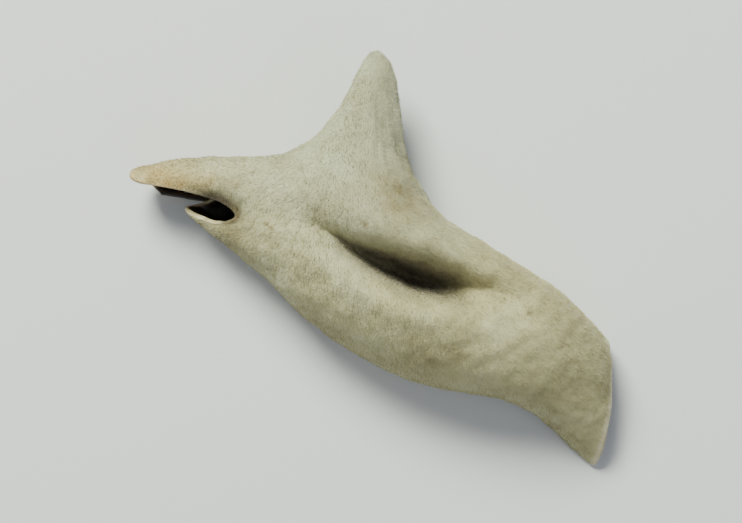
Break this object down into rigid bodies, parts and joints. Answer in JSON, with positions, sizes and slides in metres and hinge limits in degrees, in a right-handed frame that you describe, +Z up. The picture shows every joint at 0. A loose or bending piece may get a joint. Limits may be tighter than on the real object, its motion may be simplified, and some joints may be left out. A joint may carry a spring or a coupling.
{
  "type": "dried wood ear mushroom",
  "caption": "Dried wood ear: a leathery leaf, pale and felted on its back and dark inside, curled like a small boat with a pinched foot and a gaping beak.",
  "frame": {"origin": "on the surface it lies on, under the middle of its box", "axes": "+X along the ear from the beak to the tail, +Y to the side of the pinched foot, +Z up, towards the felted back"},
  "size_m": [0.0406, 0.0202, 0.0104],
  "materials": {
    "dried_leaf": "matte"
  },
  "bodies": {
    "root": {"wood_ear": "dried_leaf"}
  },
  "joints": []
}
